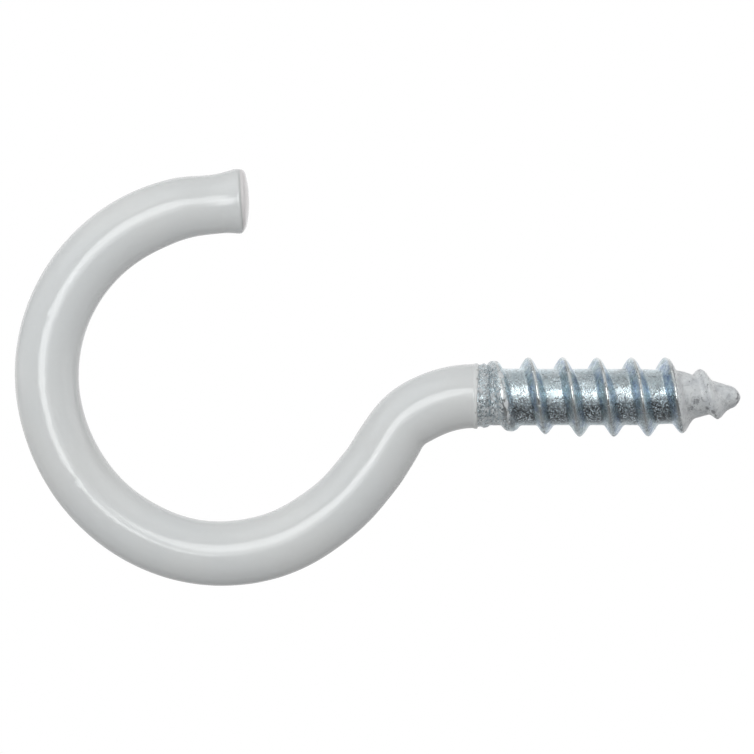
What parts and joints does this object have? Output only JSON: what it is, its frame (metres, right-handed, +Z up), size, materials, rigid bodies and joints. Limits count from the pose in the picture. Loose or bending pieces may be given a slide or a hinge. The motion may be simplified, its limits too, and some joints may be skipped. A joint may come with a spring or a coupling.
{
  "type": "clothesline hook",
  "caption": "Round open screw hook of coated bent wire with a bare tapered wood thread, for hanging a clothesline from a post, wall or beam.",
  "frame": {"origin": "on the screw's axis at the edge of the coat, where the hook meets the wall or post", "axes": "+X runs along the screw into the wall or post, +Z is up and the hook opens towards it, and the hook lies in the XZ plane"},
  "size_m": [0.0668, 0.0074, 0.0383],
  "materials": {
    "coat": "glossy off-white coat over steel wire, slightly uneven, with a raised edge at the screw",
    "zinc": "bright bluish zinc plate on the screw, mottled and scratched, with chipped coat near its point"
  },
  "bodies": {
    "root": {"screw_hook": "coat"}
  },
  "joints": []
}
